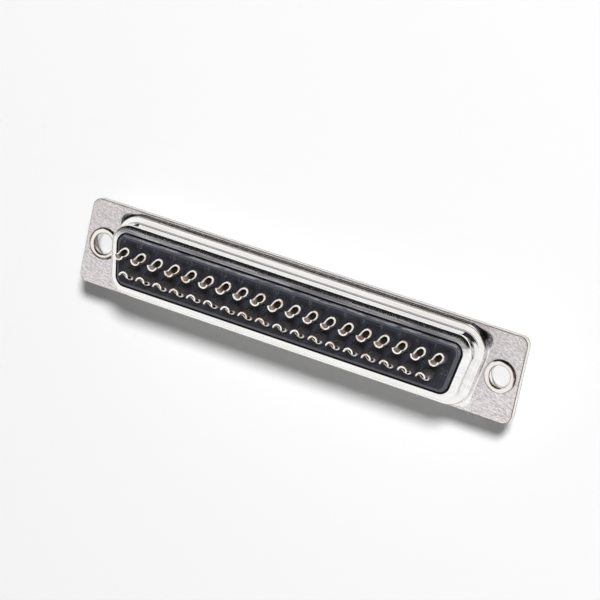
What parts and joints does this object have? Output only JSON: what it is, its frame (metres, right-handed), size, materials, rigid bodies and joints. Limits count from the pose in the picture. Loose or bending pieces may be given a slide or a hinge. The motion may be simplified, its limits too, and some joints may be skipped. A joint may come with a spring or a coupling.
{
  "type": "d-sub connector",
  "caption": "Male D-subminiature connector with two rows of pins in a D-shaped shroud, a two-hole flange and open solder cups at the rear.",
  "frame": {"origin": "centre of the shroud's mouth, on the plane that the plug stands on", "axes": "+X along the contact rows, contact 1 at +X; +Y towards the long row; +Z from the mating side towards the solder cups"},
  "size_m": [0.0694, 0.0126, 0.0152],
  "materials": {
    "shell": "satin tin plate",
    "insulator": "moulded, slightly glossy",
    "contact": "bright plated"
  },
  "bodies": {
    "root": {"front_shell": "shell", "rear_shell": "shell", "front_insulator": "insulator", "rear_insulator": "insulator", "contact_01": "contact", "contact_02": "contact", "contact_03": "contact", "contact_04": "contact", "contact_05": "contact", "contact_06": "contact", "contact_07": "contact", "contact_08": "contact", "contact_09": "contact", "contact_10": "contact", "contact_11": "contact", "contact_12": "contact", "contact_13": "contact", "contact_14": "contact", "contact_15": "contact", "contact_16": "contact", "contact_17": "contact", "contact_18": "contact", "contact_19": "contact", "contact_20": "contact", "contact_21": "contact", "contact_22": "contact", "contact_23": "contact", "contact_24": "contact", "contact_25": "contact", "contact_26": "contact", "contact_27": "contact", "contact_28": "contact", "contact_29": "contact", "contact_30": "contact", "contact_31": "contact", "contact_32": "contact", "contact_33": "contact", "contact_34": "contact", "contact_35": "contact", "contact_36": "contact", "contact_37": "contact"}
  },
  "joints": []
}
